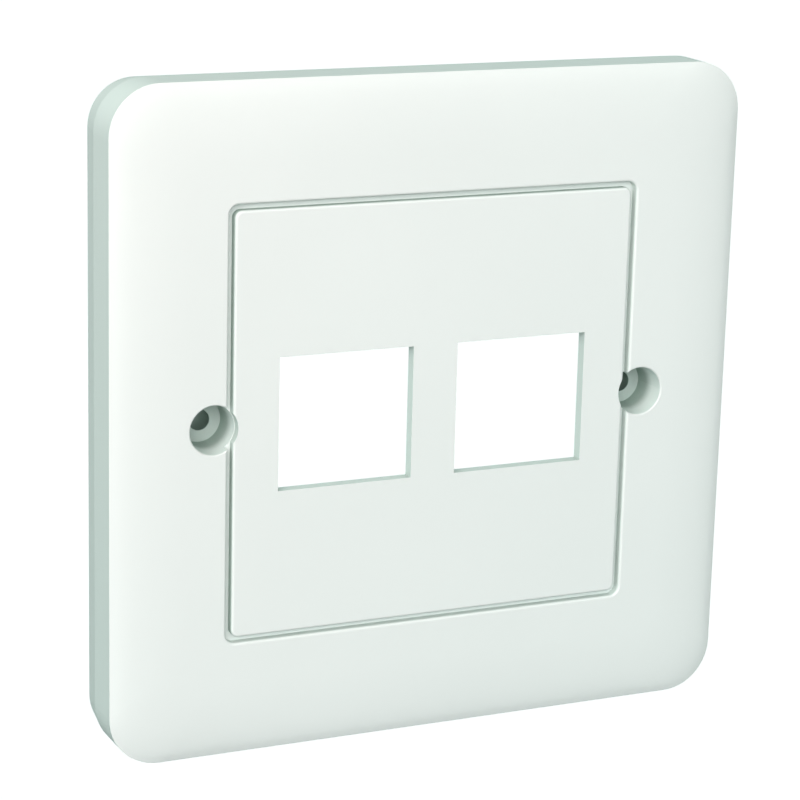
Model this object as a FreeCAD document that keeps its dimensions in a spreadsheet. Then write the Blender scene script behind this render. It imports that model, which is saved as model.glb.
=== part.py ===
import FreeCAD, Part
import math
import os
import Sketcher
from FreeCAD import Placement, Rotation, Vector
from Sketcher import Constraint

# A single-gang wiring faceplate with two rectangular cut-outs for snap-in data jacks.
# It is made of two moulded pieces: a hollow surround frame that is screwed to the wall box,
# and a thin insert panel that snaps into the frame from the front.
#
# Each piece is drawn lying on its back: X is right, Y is up the wall and Z comes out of the
# wall, with Z = 0 on the wall plane. STAND_UP then turns it, so that in the finished part
# +X is right, +Z is up and the face looks along -Y. Lengths are in millimetres.

SIZES = [
    # outside of the frame
    ("plate_size", 87.1),          # width and height over the straight side band
    ("plate_depth", 10.9),         # wall plane to the flat of the face
    ("plate_corner", 6.6),         # plan radius of the outer corners
    ("rim_inset", 0.6),            # side band to the back rim, on the wall
    ("rim_band", 4.1),             # height of the tapered band behind the side band
    # pillowed face
    ("crown_margin", 5.7),         # flat of the face left between the pillow and the aperture
    ("crown_drop", 1.0),           # how far the edge lies below the flat
    ("crown_corner", 5.0),         # plan radius where the pillow meets the flat
    ("crown_share", 0.6),          # share of the drop in the gentle part of the curve
    ("shoulder_power", 9.0),       # how sharply the last of the drop turns down
    # hollow inside of the frame
    ("wall", 2.0),                 # outer wall, at the rim
    ("face", 2.4),
    ("hollow_round", 1.0),         # inside round between the outer wall and the face
    # aperture, the ledge that carries the insert, and the collar behind it
    ("aperture_size", 56.7),
    ("aperture_corner", 1.3),
    ("edge_round", 0.35),          # soft edge of the aperture and of the insert
    ("ledge_depth", 1.25),         # face to the ledge
    ("ledge_width", 2.4),          # from the aperture wall inwards
    ("ledge_thickness", 1.75),
    ("window_corner", 3.0),        # plan radius inside the collar
    ("collar_wall", 1.5),
    ("collar_gap", 4.6),           # back of the collar and ribs to the wall plane
    # fixing points
    ("fixing_centres", 60.3),
    ("recess_mouth", 6.4),         # diameter at the face
    ("recess_seat", 5.7),          # diameter at the seat of the screw head
    ("recess_depth", 5.5),
    ("recess_lip", 0.15),          # edge break at the mouth
    ("screw_hole", 3.7),           # clearance for an M3.5 screw
    ("keeper_hole", 2.75),         # in the thin lip that grips the thread and keeps the screw
    ("keeper_lip", 0.4),           # thickness of that lip, at the seat
    ("boss_wall", 1.2),            # wall round the recess
    ("seat_thickness", 1.5),
    ("sleeve_wall", 1.2),          # wall of the slim sleeve down to the wall plane
    # ribs between the collar and the outer wall
    ("rib", 1.2),
    ("rib_pitch", 24.0),
    # insert panel
    ("insert_gap", 0.75),          # visible gap between aperture and insert, all round
    ("insert_corner", 1.0),
    ("field_step", 0.35),          # how much thicker the panel is inside the ledge
    ("locating_gap", 0.25),        # insert to the inside of the ledge
    ("skirt_wall", 1.2),
    ("skirt_depth", 5.2),          # face to the back of the insert's skirt
    ("boss_gap", 0.3),             # boss to the relief in the insert's skirt
    # jack cut-outs
    ("opening_width", 18.4),
    ("opening_height", 17.4),
    ("opening_pitch", 24.6),
    # snap hooks
    ("hook_width", 7.0),
    ("hook_pitch", 28.0),
    ("hook_arm", 1.2),
    ("hook_slot", 1.0),            # free slot each side of a hook
    ("hook_reach", 0.65),          # how far the nose goes under the collar
    ("hook_play", 0.1),            # nose to the back of the collar
    ("hook_land", 0.5),            # flat tip of the nose
    ("hook_lead", 1.6),            # height of the sloping lead-in below it
]

# Heights and widths that several features share, as expressions of the sizes above.
LEDGE_LEVEL = "plate_depth - ledge_depth"
LEDGE_BACK = LEDGE_LEVEL + " - ledge_thickness"
SEAT_LEVEL = "plate_depth - recess_depth"
WINDOW = "aperture_size - 2 * ledge_width"
FIELD = WINDOW + " - 2 * locating_gap"
INSERT = "aperture_size - 2 * insert_gap"
BOSS = "recess_mouth + 2 * boss_wall"
RIM = "plate_size - 2 * rim_inset"
RIM_CORNER = "plate_corner - rim_inset"
CROWN_WIDTH = "( ( plate_size - aperture_size ) / 2 - crown_margin )"

# The pillow's cross-section is drawn at these shares of its width, in from the edge.
CROWN_STATIONS = [0, 0.04, 0.1, 0.2, 0.35, 0.55, 0.75, 0.9, 1]

STAND_UP = Placement(Vector(0, 0, 0), Rotation(Vector(1, 0, 0), 90))
QUARTER_TURN = math.pi / 2
NEAR = 0.01                            # how closely an edge has to lie at a level to be chosen

# A sketch is first drawn at these rough sizes, and its constraints then set the real ones.
ROUGH_HALF = 20.0
ROUGH_RADIUS = 4.0
ROUGH_INSET = 1.0
ROUGH_WIDTH = 4.0
ROUGH_HEIGHT = 3.0
ROUGH_REACH = 30.0

doc = FreeCAD.newDocument("keystone_faceplate")
ALIASES = {alias for alias, value in SIZES}


def make_sheet():
    sheet = doc.addObject("Spreadsheet::Sheet", "Sizes")
    for row, (alias, value) in enumerate(SIZES, start=1):
        sheet.set("A%d" % row, alias)
        sheet.set("B%d" % row, str(value))
        sheet.setAlias("B%d" % row, alias)
    doc.recompute()
    return sheet


def formula(expression):
    """Put the sheet's name before each alias of an expression."""
    words = ["Sizes." + word if word in ALIASES else word for word in expression.split()]
    return " ".join(words)


def origin_feature(body, role):
    return [item for item in body.Origin.OriginFeatures if item.Role == role][0]


def new_body(name, label):
    body = doc.addObject("PartDesign::Body", name)
    body.Label = label
    body.Placement = STAND_UP
    return body


def new_sketch(body, name, plane="XY_Plane", level="0"):
    """A sketch on one of the body's own origin planes, raised along that plane's normal."""
    sketch = body.newObject("Sketcher::SketchObject", name)
    sketch.AttachmentSupport = [(origin_feature(body, plane), "")]
    sketch.MapMode = "FlatFace"
    sketch.setExpression(".AttachmentOffset.Base.z", formula(level))
    return sketch


def bind(sketch, constraint, name, expression):
    index = sketch.addConstraint(constraint)
    sketch.renameConstraint(index, name)
    sketch.setExpression("Constraints." + name, formula(expression))


def rounded_square(sketch, size, corner, tag="outer"):
    """A square centred on the origin, with four rounded corners."""
    half, radius = ROUGH_HALF, ROUGH_RADIUS
    first = sketch.GeometryCount
    for turn in range(4):
        spin = Rotation(Vector(0, 0, 1), 90 * turn)
        start = spin.multVec(Vector(half, radius - half, 0))
        end = spin.multVec(Vector(half, half - radius, 0))
        centre = spin.multVec(Vector(half - radius, half - radius, 0))
        ring = Part.Circle(centre, Vector(0, 0, 1), radius)
        low = QUARTER_TURN * turn
        sketch.addGeometry(Part.LineSegment(start, end))
        sketch.addGeometry(Part.ArcOfCircle(ring, low, low + QUARTER_TURN))
    right, top, left, bottom = [first + 2 * turn for turn in range(4)]
    for side, following in ((right, top), (top, left), (left, bottom), (bottom, right)):
        sketch.addConstraint(Constraint("Tangent", side, 2, side + 1, 1))
        sketch.addConstraint(Constraint("Tangent", side + 1, 2, following, 1))
    sketch.addConstraint(Constraint("Vertical", right))
    sketch.addConstraint(Constraint("Horizontal", top))
    for side in (top, left, bottom):
        sketch.addConstraint(Constraint("Equal", right + 1, side + 1))
    sketch.addConstraint(Constraint("Symmetric", right + 1, 3, left + 1, 3, -1, 1))
    sketch.addConstraint(Constraint("Symmetric", top + 1, 3, bottom + 1, 3, -1, 1))
    bind(sketch, Constraint("Distance", left, 1, right, 2 * half), tag + "_width", size)
    bind(sketch, Constraint("Distance", bottom, 1, top, 2 * half), tag + "_height", size)
    bind(sketch, Constraint("Radius", right + 1, radius), tag + "_corner", corner)


def rectangle(sketch, width, height, centre_x, centre_y, tag):
    """An upright rectangle, placed by its lower left corner."""
    first = sketch.GeometryCount
    low_left = Vector(ROUGH_INSET, ROUGH_INSET, 0)
    across = Vector(ROUGH_WIDTH, 0, 0)
    up = Vector(0, ROUGH_HEIGHT, 0)
    corners = [low_left, low_left + across, low_left + across + up, low_left + up]
    for index, direction in enumerate(["Horizontal", "Vertical"] * 2):
        sketch.addGeometry(Part.LineSegment(corners[index], corners[(index + 1) % 4]))
        sketch.addConstraint(Constraint(direction, first + index))
    for index in range(4):
        following = first + (index + 1) % 4
        sketch.addConstraint(Constraint("Coincident", first + index, 2, following, 1))
    left = "( %s ) - ( %s ) / 2" % (centre_x, width)
    low = "( %s ) - ( %s ) / 2" % (centre_y, height)
    measures = (
        (Constraint("DistanceX", first, 1, first, 2, ROUGH_WIDTH), "_width", width),
        (Constraint("DistanceY", first + 1, 1, first + 1, 2, ROUGH_HEIGHT), "_height", height),
        (Constraint("DistanceX", -1, 1, first, 1, ROUGH_INSET), "_left", left),
        (Constraint("DistanceY", -1, 1, first, 1, ROUGH_INSET), "_low", low),
    )
    for constraint, ending, expression in measures:
        bind(sketch, constraint, tag + ending, expression)


def fixing_circles(sketch, diameter):
    """A circle round each of the two fixing points."""
    for side, tag in ((1, "right"), (-1, "left")):
        centre = Vector(ROUGH_REACH * side, 0, 0)
        ring = sketch.addGeometry(Part.Circle(centre, Vector(0, 0, 1), ROUGH_RADIUS))
        sketch.addConstraint(Constraint("PointOnObject", ring, 3, -1))
        bind(sketch, Constraint("Diameter", ring, 2 * ROUGH_RADIUS), tag + "_diameter", diameter)
        reach = Constraint("DistanceX", -1, 1, ring, 3, ROUGH_REACH * side)
        bind(sketch, reach, tag + "_place", "%d * fixing_centres / 2" % side)


def outline(sketch, points, tag):
    """A closed outline through points that are given as pairs of expressions."""
    first = sketch.GeometryCount
    count = len(points)
    step = 2 * math.pi / count
    start = [Vector(ROUGH_RADIUS * math.cos(step * index), ROUGH_RADIUS * math.sin(step * index), 0)
             for index in range(count)]
    for index in range(count):
        sketch.addGeometry(Part.LineSegment(start[index], start[(index + 1) % count]))
    for index in range(count):
        following = first + (index + 1) % count
        sketch.addConstraint(Constraint("Coincident", first + index, 2, following, 1))
    for index, (across, up) in enumerate(points):
        line = first + index
        bind(sketch, Constraint("DistanceX", -1, 1, line, 1, start[index].x),
             "%s_across_%d" % (tag, index), across)
        bind(sketch, Constraint("DistanceY", -1, 1, line, 1, start[index].y),
             "%s_up_%d" % (tag, index), up)


def pad(body, name, sketch, length):
    """Material from the sketch's plane towards its normal."""
    feature = body.newObject("PartDesign::Pad", name)
    feature.Profile = sketch
    feature.setExpression("Length", formula(length))
    return feature


def pocket(body, name, sketch, length, upwards=False):
    """A cut from the sketch's plane, away from its normal unless upwards."""
    feature = body.newObject("PartDesign::Pocket", name)
    feature.Profile = sketch
    feature.Reversed = upwards
    feature.setExpression("Length", formula(length))
    return feature


def loft(body, name, sketches, ruled):
    feature = body.newObject("PartDesign::AdditiveLoft", name)
    feature.Profile = sketches[0]
    feature.Sections = sketches[1:]
    feature.Ruled = ruled
    return feature


def round_edges(body, name, radius, chosen):
    """Fillet the edges of the body's present tip that chosen() accepts."""
    doc.recompute()
    base = body.Tip
    names = ["Edge%d" % (index + 1) for index, edge in enumerate(base.Shape.Edges)
             if chosen(edge)]
    feature = body.newObject("PartDesign::Fillet", name)
    feature.Base = (base, names)
    feature.setExpression("Radius", formula(radius))
    return feature


def loop_at(level, half_width):
    """Accept the edges of a square loop that lies at a level and within a half width."""
    def chosen(edge):
        box = edge.BoundBox
        flat = abs(box.ZMin - level) < NEAR and abs(box.ZMax - level) < NEAR
        reach = max(abs(box.XMin), abs(box.XMax), abs(box.YMin), abs(box.YMax))
        return flat and reach < half_width + NEAR
    return chosen


# ---------------------------------------------------------------- surround frame

def frame_outside(body):
    """Tapered rim band, straight side band and pillowed face."""
    rim = new_sketch(body, "RimOutline")
    rounded_square(rim, RIM, RIM_CORNER)
    side = new_sketch(body, "SideOutline", level="rim_band")
    rounded_square(side, "plate_size", "plate_corner")
    loft(body, "RimBand", [rim, side], ruled=True)
    pad(body, "SideBand", side, "plate_depth - crown_drop - rim_band")
    stations = []
    for index, share in enumerate(CROWN_STATIONS):
        left = "%g" % (1 - share)
        fall = "crown_share * %s ^ 2 + ( 1 - crown_share ) * %s ^ shoulder_power" % (left, left)
        level = "plate_depth - crown_drop * ( %s )" % fall
        size = "plate_size - 2 * %g * %s" % (share, CROWN_WIDTH)
        corner = "plate_corner + %g * ( crown_corner - plate_corner )" % share
        station = new_sketch(body, "CrownStation%d" % index, level=level)
        rounded_square(station, size, corner)
        stations.append(station)
    loft(body, "Crown", stations, ruled=False)


def frame_hollow(body, sheet):
    """The inside is hollow behind the face, with a round where wall and face meet."""
    inside = new_sketch(body, "HollowOutline")
    rounded_square(inside, RIM + " - 2 * wall", RIM_CORNER + " - wall")
    pocket(body, "Hollow", inside, "plate_depth - face", upwards=True)
    ceiling = sheet.plate_depth - sheet.face
    round_edges(body, "HollowRound", "hollow_round", loop_at(ceiling, sheet.plate_size / 2))


def frame_aperture(body, sheet):
    """A shallow aperture whose floor is the ledge, with a window and collar inside it."""
    ring = new_sketch(body, "LedgeOutline", level=LEDGE_BACK)
    rounded_square(ring, "aperture_size + 2 * collar_wall", "window_corner + collar_wall")
    pad(body, "LedgeBlock", ring, "ledge_thickness")
    collar = new_sketch(body, "CollarOutline", level="collar_gap")
    rounded_square(collar, WINDOW + " + 2 * collar_wall", "window_corner + collar_wall")
    pad(body, "CollarBlock", collar, LEDGE_BACK + " - collar_gap")
    mouth = new_sketch(body, "ApertureOutline", level="plate_depth")
    rounded_square(mouth, "aperture_size", "aperture_corner")
    pocket(body, "Aperture", mouth, "ledge_depth")
    round_edges(body, "ApertureRound", "edge_round",
                loop_at(sheet.plate_depth, sheet.aperture_size / 2))
    window = new_sketch(body, "WindowOutline", level="plate_depth")
    rounded_square(window, WINDOW, "window_corner")
    pocket(body, "Window", window, "plate_depth")


def frame_ribs(body):
    """Ribs on all four sides, from the collar to the outer wall."""
    inner = "( " + WINDOW + " + collar_wall ) / 2"
    outer = "( " + RIM + " - wall ) / 2"
    ribs = new_sketch(body, "RibOutline", level="collar_gap")
    for index, place in enumerate(("- rib_pitch", "0", "rib_pitch")):
        rectangle(ribs, outer + " - " + inner, "rib", "( %s + %s ) / 2" % (outer, inner),
                  place, "rib_%d" % index)
    side = pad(body, "SideRibs", ribs, "plate_depth - face - collar_gap")
    around = body.newObject("PartDesign::PolarPattern", "RibsAllRound")
    around.Originals = [side]
    around.Axis = (origin_feature(body, "Z_Axis"), [""])
    around.Angle = 360
    around.Occurrences = 4
    body.Tip = around


def frame_fixings(body):
    """A boss at each fixing point, with a recess for the head and a hole to the wall."""
    cup = new_sketch(body, "BossOutline", level=SEAT_LEVEL + " - seat_thickness")
    fixing_circles(cup, BOSS)
    pad(body, "Bosses", cup, "recess_depth - ledge_depth + seat_thickness")
    sleeve = new_sketch(body, "SleeveOutline")
    fixing_circles(sleeve, "screw_hole + 2 * sleeve_wall")
    pad(body, "Sleeves", sleeve, SEAT_LEVEL)
    place = "fixing_centres / 2"
    profile = new_sketch(body, "RecessProfile", plane="XZ_Plane")
    outline(profile, [
        (place, "plate_depth + recess_lip"),
        (place + " + recess_mouth / 2 + 2 * recess_lip", "plate_depth + recess_lip"),
        (place + " + recess_mouth / 2", "plate_depth - recess_lip"),
        (place + " + recess_seat / 2", SEAT_LEVEL),
        (place + " + keeper_hole / 2", SEAT_LEVEL),
        (place + " + keeper_hole / 2", SEAT_LEVEL + " - keeper_lip"),
        (place + " + screw_hole / 2", SEAT_LEVEL + " - keeper_lip"),
        (place + " + screw_hole / 2", "- seat_thickness"),
        (place, "- seat_thickness"),
    ], "recess")
    recess = body.newObject("PartDesign::Groove", "RightRecess")
    recess.Profile = profile
    recess.ReferenceAxis = (profile, ["Edge9"])
    recess.Angle = 360
    both = body.newObject("PartDesign::Mirrored", "BothRecesses")
    both.Originals = [recess]
    both.MirrorPlane = (origin_feature(body, "YZ_Plane"), [""])
    body.Tip = both


def surround_frame(sheet):
    body = new_body("SurroundFrame", "surround_frame")
    frame_outside(body)
    frame_hollow(body, sheet)
    frame_aperture(body, sheet)
    frame_ribs(body)
    frame_fixings(body)
    return body


# ---------------------------------------------------------------- insert panel

def insert_plate(body, sheet):
    """A flat margin that lies on the ledge, a thicker field inside it, and a skirt."""
    margin = new_sketch(body, "MarginOutline", level=LEDGE_LEVEL)
    rounded_square(margin, INSERT, "insert_corner")
    pad(body, "Margin", margin, "ledge_depth")
    round_edges(body, "MarginRound", "edge_round",
                loop_at(sheet.plate_depth, sheet.aperture_size / 2))
    field = new_sketch(body, "FieldOutline", level=LEDGE_LEVEL + " - field_step")
    rounded_square(field, FIELD, "window_corner - locating_gap")
    pad(body, "Field", field, "field_step")
    skirt = new_sketch(body, "SkirtOutline", level="plate_depth - skirt_depth")
    rounded_square(skirt, FIELD, "window_corner - locating_gap")
    rounded_square(skirt, FIELD + " - 2 * skirt_wall",
                   "window_corner - locating_gap - skirt_wall", tag="inner")
    pad(body, "Skirt", skirt, "skirt_depth - ledge_depth")


def insert_cutouts(body):
    """Room for the bosses, notches at the recess mouths, and the two jack openings."""
    relief = new_sketch(body, "BossRelief", level=LEDGE_LEVEL)
    fixing_circles(relief, BOSS + " + 2 * boss_gap")
    pocket(body, "BossReliefs", relief, "skirt_depth")
    notch = new_sketch(body, "NotchOutline", level="plate_depth")
    fixing_circles(notch, "recess_mouth")
    pocket(body, "Notches", notch, "skirt_depth")
    openings = new_sketch(body, "OpeningOutline", level="plate_depth")
    for side, tag in ((-1, "left"), (1, "right")):
        rectangle(openings, "opening_width", "opening_height", "%d * opening_pitch / 2" % side,
                  "0", tag)
    pocket(body, "JackOpenings", openings, "skirt_depth")


def insert_hooks(body):
    """Four snap hooks, two on the top side and two on the bottom, free of the skirt."""
    out = "( " + FIELD + " ) / 2"
    slots = new_sketch(body, "HookSlots", level="plate_depth - skirt_depth")
    for up, edge in ((1, "top"), (-1, "bottom")):
        for across, side in ((1, "right"), (-1, "left")):
            rectangle(slots, "hook_width + 2 * hook_slot", "2 * skirt_wall",
                      "%d * hook_pitch / 2" % across, "%d * %s" % (up, out), edge + "_" + side)
    pocket(body, "SkirtSlots", slots, "skirt_depth - ledge_depth - field_step", upwards=True)
    catch = "collar_gap - hook_play"
    profile = new_sketch(body, "HookProfile", plane="YZ_Plane",
                         level="( hook_pitch - hook_width ) / 2")
    for up, edge in ((1, "top"), (-1, "bottom")):
        outline(profile, [
            ("%d * ( %s - hook_arm )" % (up, out), LEDGE_LEVEL),
            ("%d * %s" % (up, out), LEDGE_LEVEL),
            ("%d * %s" % (up, out), catch),
            ("%d * ( %s + locating_gap + hook_reach )" % (up, out), catch),
            ("%d * ( %s + locating_gap + hook_reach )" % (up, out), catch + " - hook_land"),
            ("%d * %s" % (up, out), catch + " - hook_land - hook_lead"),
            ("%d * ( %s - hook_arm )" % (up, out), catch + " - hook_land - hook_lead"),
        ], edge)
    hooks = pad(body, "RightHooks", profile, "hook_width")
    both = body.newObject("PartDesign::Mirrored", "AllHooks")
    both.Originals = [hooks]
    both.MirrorPlane = (origin_feature(body, "YZ_Plane"), [""])
    body.Tip = both


def insert_panel(sheet):
    body = new_body("InsertPanel", "insert_panel")
    insert_plate(body, sheet)
    insert_cutouts(body)
    insert_hooks(body)
    return body


# ---------------------------------------------------------------- build and write

def check(objects):
    for item in objects:
        bad = [state for state in item.State if state in ("Invalid", "Error")]
        if bad:
            raise RuntimeError("%s is %s" % (item.Name, bad))


sizes = make_sheet()
pieces = [surround_frame(sizes), insert_panel(sizes)]
doc.recompute()
check(doc.Objects)
for piece in pieces:
    if piece.Shape.isNull() or not piece.Shape.isValid():
        raise RuntimeError("%s has no valid shape" % piece.Label)
    if len(piece.Shape.Solids) != 1:
        raise RuntimeError("%s is not one solid" % piece.Label)
os.makedirs("parts", exist_ok=True)
for piece in pieces:
    piece.Shape.exportStep("parts/%s.step" % piece.Label)
    print(piece.Label, round(piece.Shape.Volume, 1), "mm3")
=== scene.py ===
"""Looks of the keystone faceplate: moulded plastic, a pale floor, soft studio light and the camera.

Lengths are in metres. The plate's face looks towards -Y, its back lies on Y = 0, and Z is up.
"""

import math

import bpy
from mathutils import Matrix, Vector


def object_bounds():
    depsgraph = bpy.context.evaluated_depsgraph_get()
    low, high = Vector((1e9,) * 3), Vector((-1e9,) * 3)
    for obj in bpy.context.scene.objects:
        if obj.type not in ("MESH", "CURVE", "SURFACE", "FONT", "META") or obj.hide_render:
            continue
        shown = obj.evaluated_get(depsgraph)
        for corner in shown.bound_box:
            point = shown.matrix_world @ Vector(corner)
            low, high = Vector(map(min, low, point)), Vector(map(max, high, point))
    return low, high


# ---- the plastic's colours
PLASTIC_PALE = (0.782, 0.838, 0.808, 1.0)       # the skin drifts between this
PLASTIC_DEEP = (0.770, 0.826, 0.796, 1.0)       # and this
PAINTED_WALL_SHADE = (0.730, 0.880, 0.825, 1.0)       # painted shade: side walls that nothing shelters, deeper and greener than the face
PAINTED_CREVICE_SHADE = (0.185, 0.280, 0.230, 1.0)    # painted shade: grooves and recesses, darkened where walls close round them

# ---- the Y of a surface's normal: -1 looks to the front and 1 to the back
FRONT_NORMAL, SIDE_NORMAL = -1.0, 0.0
POLISH_AND_WALL_SHADE_ENDS = (-0.7, -0.3)                      # the polish of the front fades out, and the painted shade of side walls fades in, between these
BACK_BEGINS = (0.2, 0.7)                        # and the back fades in between these

# ---- sheltered places, darkened with a painted shade
CREVICE_REACH = 0.006                           # how far away a wall can still shelter a place
CREVICE_SAMPLES = 12
CREVICE_OPENNESS = (0.05, 0.95)                 # from fully sheltered to not sheltered at all
TINT_BEGINS = 0.0020                            # this far below the face the painted shade begins to deepen
WALL_TINT_FULL = 0.0035                         # here it is at its deepest on side walls
SEAT_TINT_FULL = 0.0070                         # and here on surfaces that look to the front

# ---- noise: the size of its blobs, the part of its range that is used, and the depth of its bumps
TONE_SIZE, TONE_RANGE = 0.030, (0.35, 0.65)
SATIN_SIZE, SATIN_RANGE = 0.007, (0.3, 0.7)
RIPPLE_SIZE, RIPPLE_DEPTH = 0.0040, 0.0000035
PEEL_SIZE, PEEL_DEPTH = 0.0007, 0.0000006
GRAIN_SIZE, GRAIN_DEPTH = 0.00022, 0.000006     # on the back alone
FLOOR_TONE_SIZE = 0.25

# ---- gloss
PLASTIC_IOR = 1.49
GLOSS_LEVEL = 0.5
SATIN_SPREAD = 0.03                             # the roughness wanders this much either way
DULLING = 0.30                                  # added to it off the front and in sheltered places

# ---- what the two mouldings have of their own
FRAME_ROUGHNESS, PANEL_ROUGHNESS = 0.50, 0.48
FRAME_SHIFT = (0.0, 0.0, 0.0)                   # moves the noise, so that the two don't match
PANEL_SHIFT = (0.31, 0.17, 0.23)
FRAME_WALL_TINT = 0.28                          # the painted crevice shade's share on side walls close to the face
PANEL_WALL_TINT = 0.85

# ---- floor
WHITE = (1.0, 1.0, 1.0, 1.0)
FLOOR_PALE = (0.86, 0.86, 0.86, 1.0)
FLOOR_DEEP = (0.82, 0.82, 0.82, 1.0)
FLOOR_BOUNCE = (0.0, 0.0, 0.0, 1.0)             # it gives no light back to the plate
FLOOR_DROP = 0.42                               # the plate hangs this far above it
FLOOR_SIZE = 12.0
FLOOR_GLOW = 0.62                               # lifts what the camera sees of it to white

# ---- light: the directions point from the plate towards the lamp
TO_KEY = Vector((-0.4, -0.7, 0.0))
KEY_COLOUR = (0.912, 0.992, 0.998)
KEY_POWER = 4.50
KEY_DISTANCE = 1.0                              # a sun shines alike from any distance
KEY_SPREAD = math.radians(90.0)
TO_NEAR = Vector((-0.5, -0.66, 0.5))            # a softbox that is close, so it falls off
NEAR_COLOUR = (1.0, 0.635, 0.631)
NEAR_POWER = 0.385
NEAR_DISTANCE = 0.28
NEAR_SIZE = 0.30
TO_BACK = Vector((0.9, 0.9, -0.4))              # a soft lamp for the views from behind
BACK_COLOUR = (1.0, 1.0, 1.0)
BACK_POWER = 2.6
BACK_DISTANCE = 0.60
BACK_SIZE = 0.30
FILL_COLOUR = (0.833, 1.0, 0.967, 1.0)
FILL_POWER = 0.30
BACKDROP_POWER = 1.0

# ---- camera
CAMERA_PLACE = Vector((-0.149292, -0.323957, 0.093009))
CAMERA_TURN = (75.175, -1.436, -24.385)         # degrees about X, Y and Z
CAMERA_LENS = 125.64
CAMERA_SENSOR = 36.0
CAMERA_NEAREST, CAMERA_FARTHEST = 0.01, 50.0

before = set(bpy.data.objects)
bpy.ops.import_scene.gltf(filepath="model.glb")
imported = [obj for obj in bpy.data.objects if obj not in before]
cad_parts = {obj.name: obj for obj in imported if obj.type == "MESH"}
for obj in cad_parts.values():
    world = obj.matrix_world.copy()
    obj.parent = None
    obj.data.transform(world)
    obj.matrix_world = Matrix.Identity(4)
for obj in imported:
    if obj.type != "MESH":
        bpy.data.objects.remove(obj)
cad_low, cad_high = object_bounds()


# ---------------------------------------------------------------- node helpers

def add_node(tree, kind, **values):
    """A shader node with its input sockets set by name; underscores stand for spaces."""
    made = tree.nodes.new(kind)
    for name, value in values.items():
        made.inputs[name.replace("_", " ")].default_value = value
    return made


def fill_socket(tree, socket, value):
    """Links an output to the socket, or sets the socket to a plain number or colour."""
    if isinstance(value, (float, tuple)):
        socket.default_value = value
    else:
        tree.links.new(value, socket)


def y_of(tree, vector):
    """The Y of a vector: how far back a point lies, or how a surface faces."""
    made = tree.nodes.new("ShaderNodeSeparateXYZ")
    tree.links.new(vector, made.inputs["Vector"])
    return made.outputs["Y"]


def noise(tree, coords, size, detail):
    """Noise whose blobs are about size metres across."""
    made = add_node(tree, "ShaderNodeTexNoise", Scale=1.0 / size, Detail=detail)
    tree.links.new(coords, made.inputs["Vector"])
    return made.outputs["Fac"]


def remap(tree, value, given, wanted=(0.0, 1.0)):
    """The value, carried from the given range onto the wanted one and held there."""
    made = tree.nodes.new("ShaderNodeMapRange")
    for name, number in zip(("From Min", "From Max", "To Min", "To Max"), (*given, *wanted)):
        made.inputs[name].default_value = number
    tree.links.new(value, made.inputs["Value"])
    return made.outputs["Result"]


def combine(tree, operation, first, second):
    """The result of a sum, product or other operation on two values."""
    made = tree.nodes.new("ShaderNodeMath")
    made.operation = operation
    fill_socket(tree, made.inputs[0], first)
    fill_socket(tree, made.inputs[1], second)
    return made.outputs["Value"]


def rest_of(tree, share):
    """What the share leaves of 1."""
    return combine(tree, "SUBTRACT", 1.0, share)


def mix_colours(tree, share, first, second):
    """The first colour where the share is 0, and the second where it is 1."""
    made = tree.nodes.new("ShaderNodeMix")
    made.data_type = "RGBA"
    tree.links.new(share, made.inputs["Factor"])
    ends = [socket for socket in made.inputs if socket.type == "RGBA"]
    for socket, value in zip(ends, (first, second)):
        fill_socket(tree, socket, value)
    return next(socket for socket in made.outputs if socket.type == "RGBA")


def mix_shaders(tree, share, first, second):
    """The first shader where the share is 0, and the second where it is 1."""
    made = tree.nodes.new("ShaderNodeMixShader")
    for socket, output in zip(made.inputs, (share, first, second)):
        tree.links.new(output, socket)
    return made.outputs["Shader"]


def bump(tree, height, depth, below=None):
    """A bump of that depth in metres, laid over another bump's normal."""
    made = add_node(tree, "ShaderNodeBump", Strength=1.0, Distance=depth)
    tree.links.new(height, made.inputs["Height"])
    if below is not None:
        tree.links.new(below, made.inputs["Normal"])
    return made.outputs["Normal"]


def shows_backdrop(tree):
    """1 for the rays that see the white backdrop: from the camera, a gloss or through glass."""
    rays = tree.nodes.new("ShaderNodeLightPath").outputs
    reflected = combine(tree, "MAXIMUM", rays["Is Glossy Ray"], rays["Is Transmission Ray"])
    return combine(tree, "MAXIMUM", rays["Is Camera Ray"], reflected)


def new_material(name):
    """An empty material and its node tree."""
    material = bpy.data.materials.new(name)
    material.use_nodes = True
    material.node_tree.nodes.clear()
    return material, material.node_tree


def set_surface(tree, output_kind, shader):
    """Makes the shader what the material or the world shows."""
    output = tree.nodes.new(output_kind)
    tree.links.new(shader, output.inputs["Surface"])


# ---------------------------------------------------------------- plastic

def shelter_at(tree):
    """How sheltered a place is by the walls round it: 0 in the open, 1 deep in a crevice."""
    crevice = add_node(tree, "ShaderNodeAmbientOcclusion", Distance=CREVICE_REACH)
    crevice.samples = CREVICE_SAMPLES
    return remap(tree, crevice.outputs["AO"], CREVICE_OPENNESS, (1.0, 0.0))


def crevice_shade_by_depth(tree, facing, place, wall_tint):
    """The share of the painted crevice shade: it deepens below the face, and sooner on side walls.
    """
    begins = cad_low.y + TINT_BEGINS
    seats = remap(tree, place, (begins, cad_low.y + SEAT_TINT_FULL))
    sideways = remap(tree, facing, (FRONT_NORMAL, SIDE_NORMAL))
    by_face = remap(tree, place, (begins, cad_low.y + WALL_TINT_FULL), (wall_tint, 1.0))
    walls = combine(tree, "MULTIPLY", sideways, by_face)
    return combine(tree, "MAXIMUM", seats, walls)


def moulded_skin(tree, coords, behind):
    """The normal of the skin: long ripples, a fine peel, and a rough grain on the back."""
    ripple = bump(tree, noise(tree, coords, RIPPLE_SIZE, detail=1.0), RIPPLE_DEPTH)
    peel = bump(tree, noise(tree, coords, PEEL_SIZE, detail=2.0), PEEL_DEPTH, below=ripple)
    grain = combine(tree, "MULTIPLY", noise(tree, coords, GRAIN_SIZE, detail=2.0), behind)
    return bump(tree, grain, GRAIN_DEPTH, below=peel)


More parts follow.
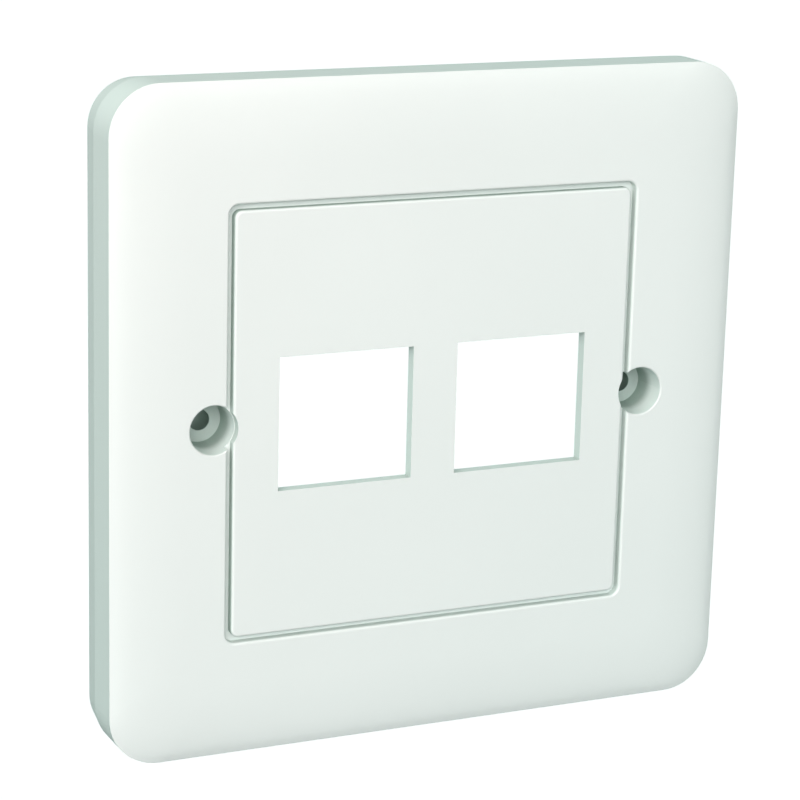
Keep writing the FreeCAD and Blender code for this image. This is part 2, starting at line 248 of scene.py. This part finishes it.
def moulded_plastic(name, roughness, shift, wall_tint):
    """Pale moulded plastic: satin in front, and dull on the sides, behind and in sheltered places.

    Side walls get a painted shade, and crevices a darker painted shade; wall_tint is the crevice
    shade's share on side walls close to the face."""
    material, tree = new_material(name)
    places = tree.nodes.new("ShaderNodeTexCoord")
    offset = add_node(tree, "ShaderNodeMapping", Location=shift)
    tree.links.new(places.outputs["Object"], offset.inputs["Vector"])
    coords = offset.outputs["Vector"]
    facing = y_of(tree, places.outputs["Normal"])
    place = y_of(tree, places.outputs["Object"])
    turned_from_front = remap(tree, facing, POLISH_AND_WALL_SHADE_ENDS)
    behind = remap(tree, facing, BACK_BEGINS)
    ahead = rest_of(tree, behind)
    shelter = shelter_at(tree)

    tone = remap(tree, noise(tree, coords, TONE_SIZE, detail=3.0), TONE_RANGE)
    skin = mix_colours(tree, tone, PLASTIC_DEEP, PLASTIC_PALE)
    # Side walls that nothing shelters get a painted shade, deeper and greener than the face.
    sides = combine(tree, "MULTIPLY", turned_from_front, ahead)
    painted_wall_shade_share = combine(tree, "MULTIPLY", sides, rest_of(tree, shelter))
    skin = mix_colours(tree, painted_wall_shade_share, skin, PAINTED_WALL_SHADE)
    # Grooves and recesses get a painted shade, darker the more the walls round them close in and
    # the deeper they lie.
    tint = combine(tree, "MULTIPLY", crevice_shade_by_depth(tree, facing, place, wall_tint), ahead)
    sheltered = combine(tree, "MULTIPLY", shelter, tint)
    colour = mix_colours(tree, sheltered, skin, PAINTED_CREVICE_SHADE)

    satin = (roughness - SATIN_SPREAD, roughness + SATIN_SPREAD)
    patches = remap(tree, noise(tree, coords, SATIN_SIZE, detail=4.0), SATIN_RANGE, satin)
    dull = combine(tree, "MULTIPLY", combine(tree, "MAXIMUM", turned_from_front, sheltered), DULLING)

    gloss = {"IOR": PLASTIC_IOR, "Specular_IOR_Level": GLOSS_LEVEL}
    plastic = add_node(tree, "ShaderNodeBsdfPrincipled", **gloss)
    tree.links.new(colour, plastic.inputs["Base Color"])
    tree.links.new(combine(tree, "ADD", patches, dull), plastic.inputs["Roughness"])
    tree.links.new(moulded_skin(tree, coords, behind), plastic.inputs["Normal"])
    set_surface(tree, "ShaderNodeOutputMaterial", plastic.outputs["BSDF"])
    return material


def dress(node, material):
    """Gives a CAD node's material slots the new material."""
    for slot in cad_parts[node].material_slots:
        slot.material = material


frame_plastic = moulded_plastic("frame_moulded", FRAME_ROUGHNESS, FRAME_SHIFT, FRAME_WALL_TINT)
panel_plastic = moulded_plastic("panel_moulded", PANEL_ROUGHNESS, PANEL_SHIFT, PANEL_WALL_TINT)
dress("surround_frame", frame_plastic)
dress("insert_panel", panel_plastic)


# ---------------------------------------------------------------- floor

def floor_material():
    """A pale matt floor that keeps its shadows and meets the camera as white."""
    material, tree = new_material("floor_pale")
    places = tree.nodes.new("ShaderNodeTexCoord")
    tone = noise(tree, places.outputs["Object"], FLOOR_TONE_SIZE, detail=4.0)
    matt = tree.nodes.new("ShaderNodeBsdfDiffuse")
    tree.links.new(mix_colours(tree, tone, FLOOR_DEEP, FLOOR_PALE), matt.inputs["Color"])
    glow = add_node(tree, "ShaderNodeEmission", Color=WHITE, Strength=FLOOR_GLOW)
    seen = tree.nodes.new("ShaderNodeAddShader")
    tree.links.new(matt.outputs["BSDF"], seen.inputs[0])
    tree.links.new(glow.outputs["Emission"], seen.inputs[1])
    bounce = add_node(tree, "ShaderNodeBsdfDiffuse", Color=FLOOR_BOUNCE)
    mixed = mix_shaders(tree, shows_backdrop(tree), bounce.outputs["BSDF"], seen.outputs["Shader"])
    set_surface(tree, "ShaderNodeOutputMaterial", mixed)
    return material


half = FLOOR_SIZE / 2
floor_corners = [(-half, -half, 0.0), (half, -half, 0.0), (half, half, 0.0), (-half, half, 0.0)]
floor_mesh = bpy.data.meshes.new("floor")
floor_mesh.from_pydata(floor_corners, [], [(0, 1, 2, 3)])
floor_mesh.materials.append(floor_material())
floor = bpy.data.objects.new("floor", floor_mesh)
floor.location.z = cad_low.z - FLOOR_DROP
bpy.context.scene.collection.objects.link(floor)


# ---------------------------------------------------------------- light

def add_lamp(name, kind, power, colour, towards, distance):
    """A lamp that stands off the origin in that direction and looks back at it."""
    data = bpy.data.lights.new(name, kind)
    data.energy = power
    data.color = colour
    lamp = bpy.data.objects.new(name, data)
    lamp.location = towards.normalized() * distance
    lamp.rotation_euler = towards.to_track_quat("Z", "Y").to_euler()
    lamp.visible_camera = False
    bpy.context.scene.collection.objects.link(lamp)
    return data


key = add_lamp("key", "SUN", KEY_POWER, KEY_COLOUR, TO_KEY, KEY_DISTANCE)
key.angle = KEY_SPREAD
near = add_lamp("near", "AREA", NEAR_POWER, NEAR_COLOUR, TO_NEAR, NEAR_DISTANCE)
near.size = NEAR_SIZE
back = add_lamp("back", "AREA", BACK_POWER, BACK_COLOUR, TO_BACK, BACK_DISTANCE)
back.size = BACK_SIZE

world = bpy.data.worlds.new("studio")
world.use_nodes = True
sky = world.node_tree
sky.nodes.clear()
fill = add_node(sky, "ShaderNodeBackground", Color=FILL_COLOUR, Strength=FILL_POWER)
backdrop = add_node(sky, "ShaderNodeBackground", Color=WHITE, Strength=BACKDROP_POWER)
fill_shader, backdrop_shader = fill.outputs["Background"], backdrop.outputs["Background"]
mixed_sky = mix_shaders(sky, shows_backdrop(sky), fill_shader, backdrop_shader)
set_surface(sky, "ShaderNodeOutputWorld", mixed_sky)
bpy.context.scene.world = world
bpy.context.scene.view_settings.view_transform = "Standard"


# ---------------------------------------------------------------- camera

camera_data = bpy.data.cameras.new("camera")
camera_data.lens = CAMERA_LENS
camera_data.sensor_width = CAMERA_SENSOR
camera_data.clip_start = CAMERA_NEAREST
camera_data.clip_end = CAMERA_FARTHEST
camera = bpy.data.objects.new("camera", camera_data)
camera.location = CAMERA_PLACE
camera.rotation_euler = [math.radians(angle) for angle in CAMERA_TURN]
bpy.context.scene.collection.objects.link(camera)
bpy.context.scene.camera = camera
